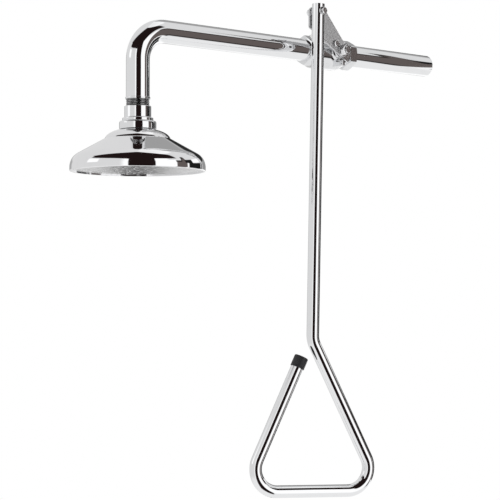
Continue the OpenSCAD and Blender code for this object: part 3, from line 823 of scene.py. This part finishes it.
at_valve = Frame((0, VALVE_Y, 0), Y_AXIS)
out_of_valve = Frame((0, VALVE_Y, 0), X_AXIS)
HALF = body_high.y - VALVE_Y
FLOOR = HALF - 16
HEX_FLATS = PIPE_R * 2 + 7.3
CHAMBER_R = BALL_R + 1.3
BARREL_R = CHAMBER_R + 5.65
WATERWAY_R = PIPE_R - 4.15
SPIGOT_R = CHAMBER_R + 0.7
SEAT_R = BALL_R * math.cos(math.asin(0.525)) + 0.85
SEAT_FRONT = BALL_R * 0.525
SEAT_BACK = SEAT_FRONT + 6.5
NECK_R = 12.0
GLAND_BORE_R = 9.1
NECK_END = gland_low.x
POST_LOW = Vector((16.2, VALVE_Y + 1.5, -23))
POST_HIGH = Vector((body_high.x, VALVE_Y + 7.65, -14))
ROOT_LOW = Vector((12, POST_LOW.y, POST_LOW.z))
ROOT_HIGH = Vector((POST_LOW.x + 1, POST_HIGH.y, -18))

body_outside = soften([
    (SPIGOT_R + 0.05, -FLOOR), (BARREL_R, -FLOOR, 1.6), (BARREL_R, SEAT_FRONT + 5.5, 7.0),
    (HEX_FLATS / 2 - 1, FLOOR - 0.6, 2.5), (HEX_FLATS / 2 - 1, FLOOR + 1)], 7)
body_inside = [(PIPE_R - 0.45, HALF), (PIPE_R - 0.45, FLOOR), (WATERWAY_R, FLOOR), (WATERWAY_R, SEAT_BACK),
               (SEAT_R, SEAT_BACK), (SEAT_R, SEAT_FRONT + 1.5), (CHAMBER_R, SEAT_FRONT + 1.5),
               (CHAMBER_R, -SEAT_FRONT - 1.4), (SPIGOT_R + 0.05, -SEAT_FRONT - 1.4)]
casting = Shape().spin(body_outside + hexagon_rows(HEX_FLATS, FLOOR + 1, HALF) + body_inside, at_valve, 120)
neck_foot = CHAMBER_R + 1
neck_tube = soften([(GLAND_BORE_R, neck_foot), (NECK_R + 1.5, neck_foot), (NECK_R, neck_foot + 5.5, 3.0),
                    (NECK_R, NECK_END, 0.6), (GLAND_BORE_R, NECK_END, 0.2)])
casting.spin(neck_tube, out_of_valve, 72)
casting.block(POST_LOW, POST_HIGH, 0.7)
casting.block(ROOT_LOW, ROOT_HIGH, 0.3)
piece("valve_casting", casting, "pipework", "valve_chrome", valve_chrome, ["valve_body"])

end_rows = [(SOCKET_R, -HALF), *hexagon_rows(HEX_FLATS, -HALF, -FLOOR - 1),
            (SPIGOT_R - 1, -FLOOR - 1), (SPIGOT_R - 1, -FLOOR), (SPIGOT_R, -FLOOR),
            (SPIGOT_R, -SEAT_FRONT - 2), (SEAT_R, -SEAT_FRONT - 2), (SEAT_R, -SEAT_BACK),
            (WATERWAY_R, -SEAT_BACK), (WATERWAY_R, -FLOOR), (SOCKET_R, -FLOOR)]
piece("valve_end_nut", Shape().spin(end_rows, at_valve, 120), "pipework", "valve_chrome", valve_chrome,
      ["valve_end"])

STEM_BORE_R = 6.08
GLAND_SPIGOT_R = 9.0
GLAND_FLATS = 20.0
gland = [(STEM_BORE_R, gland_low.x), (GLAND_SPIGOT_R, gland_low.x),
         *hexagon_rows(GLAND_FLATS, gland_low.x, gland_high.x), (STEM_BORE_R, gland_high.x)]
piece("gland_hexagon", Shape().spin(gland, out_of_valve, 120), "pipework", "fastener_steel", fastener_steel,
      ["gland_nut"])

# ---- lever ----

STEM_R = 6.0
STEM_COLLAR_R = 8
STEM_THREAD_R = 5.0
STEM_HOLE_R = 5.05
HALF_FLAT = 4.4


def flatted(angle):
    """The radius of a round bar with two flats, by angle."""
    return min(STEM_R, HALF_FLAT / max(abs(math.sin(angle)), 0.001))


ARM_BACK = drive_low.x
collar_base = BALL_R + 0.5
collar_top = collar_base + 3
stem_rows = [(POLE_R, collar_base), (STEM_COLLAR_R, collar_base), (STEM_COLLAR_R, collar_top),
             (STEM_R, collar_top), (STEM_R, ARM_BACK), (flatted, ARM_BACK), (flatted, PLATE_BACK),
             *thread_rows(STEM_THREAD_R, 0.7, 1.5, PLATE_BACK, stem_high.x),
             (3.6, stem_high.x), (POLE_R, stem_high.x)]
stem = Shape().spin(stem_rows, out_of_valve, 72, loop=False)
stem.block(Vector((BALL_R - 5, VALVE_Y - 2.5, -7)), Vector((BALL_R + 1.5, VALVE_Y + 2.5, 7)), 0.4)
piece("stem_spindle", stem, "lever", "fastener_steel", fastener_steel, ["valve_stem"])

SCREW_R = 3
SCREW_HOLE_R = 3.05
rise = math.radians(30)
arm_way = Vector((-math.cos(rise), math.sin(rise)))
arm_side = Vector((-arm_way.y, arm_way.x))
centre = Vector((VALVE_Y, 0))
ARM_REACH = 18
ARM_TAIL = 20
ARM_HALF_WIDTH = 7.9
outline = []
for k in range(17):
    angle = math.pi / 2 - math.pi * k / 16
    outline.append(centre + arm_way * (ARM_REACH + ARM_HALF_WIDTH * math.cos(angle))
                   + arm_side * ARM_HALF_WIDTH * math.sin(angle))
outline += [centre - arm_way * ARM_TAIL - arm_side * ARM_HALF_WIDTH,
            centre - arm_way * ARM_TAIL + arm_side * ARM_HALF_WIDTH]
arm_holes = [[tuple(centre + Vector((flatted(a + rise) * math.cos(a), flatted(a + rise) * math.sin(a))))
              for a in (math.tau * k / 48 for k in range(48))], circle(SCREW.y, SCREW.z, SCREW_HOLE_R)]
piece("drive_bar", sheet_metal([tuple(p) for p in outline], arm_holes, ARM_BACK, PLATE_BACK - 0.02), "lever",
      "fastener_steel", fastener_steel, ["drive_arm"], bevel=0.35)

LEVER_ARM = Vector((0, PIVOT.y - VALVE_Y, PIVOT.z)).length
eyes = [(VALVE_Y, 0, 10.2), (PIVOT.y, PIVOT.z, 8.0), (VALVE_Y - 0.80 * LEVER_ARM, 0.39 * LEVER_ARM, 5.0)]
eyes.insert(1, (VALVE_Y - 0.46 * LEVER_ARM, 0.645 * LEVER_ARM, 4.0))
plate_holes = [circle(VALVE_Y, 0, STEM_HOLE_R), circle(PIVOT.y, PIVOT.z, 3.08), circle(SCREW.y, SCREW.z, 3.2)]
plate = sheet_metal(eye_outline(eyes), plate_holes, PLATE_BACK, PLATE_FRONT)
piece("lever_sheet", plate, "lever", "lever_steel", lever_steel, ["lever_plate"], bevel=0.45)


def bolt_head(shape, stand, flats, base, top, crown=0.35):
    """Adds a hexagon head with a slightly raised, dished crown."""
    rows = [(POLE_R, base), *hexagon_rows(flats, base, top - crown, 0.97), (flats * 0.40, top - crown * 0.1),
            (flats * 0.36, top), (flats * 0.20, top - crown * 0.4), (POLE_R, top - crown * 0.55)]
    shape.spin(rows, stand, 96, loop=False)


def nut(stand, flats, low, high, bore):
    """A hexagon nut whose bore is opened out at both ends."""
    rows = [(bore + 0.5, low), *hexagon_rows(flats, low, high, 0.96), (bore + 0.6, high), (bore, high - 0.6),
            (bore, low + 0.6)]
    return Shape().spin(rows, stand, 120)


at_screw = Frame((0, SCREW.y, SCREW.z), X_AXIS)
at_pivot = Frame((0, PIVOT.y, PIVOT.z), X_AXIS)
SMALL_FLATS = 10
STEM_NUT_FLATS = 16
screw_end = PLATE_FRONT + 0.2
screw = Shape().spin([(POLE_R, screw_low.x), (SCREW_R - 0.4, screw_low.x), (SCREW_R, screw_low.x + 0.4),
                      (SCREW_R, screw_end), (POLE_R, screw_end)], at_screw, 48, loop=False)
bolt_head(screw, at_screw, SMALL_FLATS, PLATE_FRONT, screw_high.x)
piece("plate_screw", screw, "lever", "fastener_steel", fastener_steel, ["lever_screw"])

washer_r = (stem_washer_high.y - stem_washer_low.y) / 2
washer = soften([(STEM_HOLE_R, stem_washer_low.x), (washer_r, stem_washer_low.x, 0.25),
                 (washer_r, stem_washer_high.x, 0.5), (STEM_HOLE_R, stem_washer_high.x, 0.3)])
piece("spindle_washer", Shape().spin(washer, out_of_valve, 72), "lever", "fastener_steel", fastener_steel,
      ["stem_washer"])
stem_nut = nut(out_of_valve, STEM_NUT_FLATS, stem_nut_low.x, stem_nut_high.x, STEM_HOLE_R)
piece("spindle_nut", stem_nut, "lever", "fastener_steel", fastener_steel, ["stem_nut"])

# ---- pivot bolt ----

BOLT_R = 3
BOLT_HOLE_R = 3.05
HEAD_DEPTH = 4
shank_end = bolt_high.x - HEAD_DEPTH + 0.2
bolt_rows = [(POLE_R, bolt_low.x), (2.2, bolt_low.x),
             *thread_rows(BOLT_R, 0.5, 1.0, bolt_low.x + 0.1, pivot_nut_high.x + 0.5),
             (BOLT_R, pivot_nut_high.x + 0.6), (BOLT_R, shank_end), (POLE_R, shank_end)]
bolt = Shape().spin(bolt_rows, at_pivot, 48, loop=False)
bolt_head(bolt, at_pivot, SMALL_FLATS, bolt_high.x - HEAD_DEPTH, bolt_high.x)
piece("hinge_bolt", bolt, "pull_rod", "fastener_steel", fastener_steel, ["pivot_bolt"])
pivot_nut = nut(at_pivot, SMALL_FLATS, pivot_nut_low.x, pivot_nut_high.x, BOLT_HOLE_R)
piece("hinge_nut", pivot_nut, "pull_rod", "fastener_steel", fastener_steel, ["pivot_nut"])
WASHER_R = 6
WASHER_DEPTH = 1.2
washers = Shape()
for base in (washers_low.x, PLATE_FRONT + 0.2, washers_high.x - WASHER_DEPTH):
    top = base + WASHER_DEPTH
    washers.spin(soften([(BOLT_HOLE_R, base), (WASHER_R, base, 0.2), (WASHER_R, top, 0.4),
                         (BOLT_HOLE_R, top, 0.2)]), at_pivot, 56)
piece("hinge_washers", washers, "pull_rod", "fastener_steel", fastener_steel, ["pivot_washers"])

# ---- end cap of the handle ----

cap_frame = Frame(free_tip, cap_way)
cap_inner = ROD_R + 0.05
CAP_R = cap_inner + 1.2
cap_rows = [(cap_inner, -15), (CAP_R - 0.5, -15), (CAP_R - 0.1, -14.6), (CAP_R, -14.0), (CAP_R, -12.4),
            (CAP_R - 0.25, -12.0), (CAP_R - 0.25, -11.6), (CAP_R - 0.02, -11.2), (CAP_R - 0.08, 0.6)]
cap_rows += [(CAP_R - 2 + 1.95 * math.cos(a), 1 + 2 * math.sin(a))
             for a in (math.pi / 2 * k / 8 for k in range(9))]
cap_rows += [(CAP_R - 4.5, 2.95), (4.0, 2.9), (3.4, 2.6), (POLE_R, 2.5), (POLE_R, 0.05), (cap_inner, 0.05)]
piece("handle_cap", Shape().spin(cap_rows, cap_frame, 72), "pull_rod", "cap_black", cap_black,
      ["rod_end_cap"])

# ---- carried-over nodes ----

for node, finish in {"body_seal": seal_white, "ball_seats": seal_white, "stem_packing": seal_white,
                     "hub_gasket": seal_black, "flow_washer": seal_black, "plate_seal": seal_black,
                     "hub_nut": fastener_steel, "valve_ball": ball_chrome}.items():
    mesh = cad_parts[node].data
    if not mesh.materials:
        mesh.materials.append(finish)
    for i in range(len(mesh.materials)):
        mesh.materials[i] = finish

# ---- floor, lights, surroundings and camera ----

# these sizes are in metres
FLOOR_Z = -2.1
FLOOR_R = 9
FLOOR_DEPTH = 0.01
floor_mesh = bpy.data.meshes.new("floor")
floor_rows = [(0.01, -FLOOR_DEPTH), (FLOOR_R, -FLOOR_DEPTH), (FLOOR_R, 0), (0.01, 0)]
floor_shape = Shape().spin(floor_rows, Frame((0, -0.35, FLOOR_Z)), 96)
floor_mesh.from_pydata(floor_shape.points, [], floor_shape.faces)
floor = bpy.data.objects.new("floor", floor_mesh)
bpy.context.scene.collection.objects.link(floor)
floor_finish, nodes = material("pale_floor")
mottle = nodes.noise(nodes.place(), 3, 3, 0.5)
surface(nodes, {"Base Color": nodes.blend(mottle, grey(0.86), grey(0.90)), "Roughness": 0.8})
floor_mesh.materials.append(floor_finish)
floor.visible_glossy = False

VIEW_TURN = math.radians(49.476)
VIEW_WAY = Vector((-math.sin(VIEW_TURN), math.cos(VIEW_TURN), 0))
TO_CAMERA = -VIEW_WAY
TO_RIGHT = VIEW_WAY.cross(Z_AXIS)

world = bpy.data.worlds.new("studio")
bpy.context.scene.world = world
world.use_nodes = True
nodes = Nodes(world.node_tree)
way = nodes.node("ShaderNodeTexCoord", output="Generated")


def along(direction):
    return nodes.node("ShaderNodeVectorMath", {"operation": "DOT_PRODUCT"}, {0: way, 1: direction}, "Value")


DEGREES = 180 / math.pi
turn = along(TO_RIGHT).math("ARCTAN2", along(TO_CAMERA)) * DEGREES
height = along(Z_AXIS).math("ARCSINE") * DEGREES
front_left = -12 - (height - 28).math("MAXIMUM", 0) * 8
front = nodes.smooth(turn - front_left, -1.2, 1.2) * (1 - nodes.smooth(turn, 33, 35.4))
arch_top = 84 - turn * turn * 0.005
black_front = front * nodes.between(height, -48, 84, 2)
black_arch = nodes.between(turn, -90, 79, 2) * nodes.smooth(height, 30, 32)
black_front = (black_front + black_arch).math("MINIMUM", 1) * (1 - nodes.smooth(height - arch_top, -1.5, 1.5))
side_top = 22 + ((turn - 86).math("MAXIMUM", 0) * 3).math("MINIMUM", 14)
from_top = side_top - height
side = nodes.between(turn, 74, 97, 1.0) * nodes.smooth(from_top, -1.5, 1.5) * nodes.smooth(height, -33, -30)
side_edges = side * (1 - nodes.smooth(from_top, 4, 9) * nodes.smooth(height, -26, -21))
side_patch = nodes.between(turn, 94, 113, 1.0) * nodes.between(height, 10, 24, 1.5)
right_back = nodes.between(turn, 101, 144, 1.5) * nodes.between(height, -22, 13, 1.5)
overhead_side = nodes.between(turn, 60, 150, 4) * nodes.between(height, 24, 60, 2)
behind_right = nodes.smooth(turn, 140, 150)
behind_left = 1 - nodes.smooth(turn, -150, -140)
level = nodes.between(height, -2, 12, 2)
left = 1 - nodes.smooth(turn, -28, -16)
left_window = nodes.between(turn, -92, -68, 2) * nodes.between(height, 11, 27, 2)
slit = nodes.between(turn, -176.9, -175.0, 0.5) * nodes.between(height, -45, 0, 1)
light = nodes.blend(left, grey(1.12), grey(0.74))
light = nodes.blend(left_window, light, grey(1.12))
light = nodes.blend(overhead_side, light, grey(0.76))
light = nodes.blend(nodes.smooth(height, -18, -34), light, grey(0.88))
light = nodes.blend(nodes.smooth(height, 52, 80) * 0.6, light, grey(0.78))
light = nodes.blend(slit, light, grey(0.06))
light = nodes.blend(behind_left * level, light, grey(0.42))
light = nodes.blend(behind_right * level, light, grey(0.30))
light = nodes.blend(behind_right * nodes.between(height, 12, 29, 2), light, grey(0.025))
light = nodes.blend(behind_right * nodes.between(height, 29, 62, 3), light, grey(0.36))
light = nodes.blend(side, light, (0.125, 0.105, 0.10, 1))
dark = (side_edges * 0.8 + side_patch + right_back).math("MINIMUM", 1)
light = nodes.blend(dark, light, grey(0.012))
light = nodes.blend(black_front, light, (0.014, 0.008, 0.008, 1))
seen = nodes.node("ShaderNodeLightPath", output="Is Camera Ray")
plain = nodes.node("ShaderNodeBackground", {}, {"Color": grey(1.0), "Strength": 1.0})
studio = nodes.node("ShaderNodeBackground", {}, {"Color": light, "Strength": 1.0})
mixed = nodes.node("ShaderNodeMixShader", {}, {0: seen, 1: studio, 2: plain})
nodes.node("ShaderNodeOutputWorld", {}, {"Surface": mixed})


def softbox(name, place, target, size, power):
    lamp = bpy.data.lights.new(name, "AREA")
    lamp.shape = "RECTANGLE"
    lamp.size, lamp.size_y = size
    lamp.energy = power
    lit = bpy.data.objects.new(name, lamp)
    lit.location = place
    lit.rotation_euler = (Vector(target) - Vector(place)).to_track_quat("-Z", "Y").to_euler()
    lit.visible_glossy = False
    bpy.context.scene.collection.objects.link(lit)


MIDDLE = (Vector(cad_box[0]) + Vector(cad_box[1])) / 2
softbox("key_softbox", MIDDLE + TO_CAMERA * 2.2 - TO_RIGHT * 1.5 + Z_AXIS * 1.8, MIDDLE, (1.6, 1.2), 110)
softbox("fill_softbox", MIDDLE + TO_CAMERA * 1.4 + TO_RIGHT * 2.2 + Z_AXIS * 0.6, MIDDLE, (1.4, 1.8), 60)

camera_data = bpy.data.cameras.new("camera")
camera_data.sensor_width = 36
camera_data.lens = 117.4
camera_data.clip_start = 0.05
camera = bpy.data.objects.new("camera", camera_data)
camera.location = (1.8503, -1.962, -0.3782)
tilt = math.radians(1.6)
look = VIEW_WAY * math.cos(tilt) + Z_AXIS * math.sin(tilt)
camera.rotation_euler = look.to_track_quat("-Z", "Y").to_euler()
bpy.context.scene.collection.objects.link(camera)
bpy.context.scene.camera = camera
bpy.context.scene.view_settings.view_transform = "Standard"
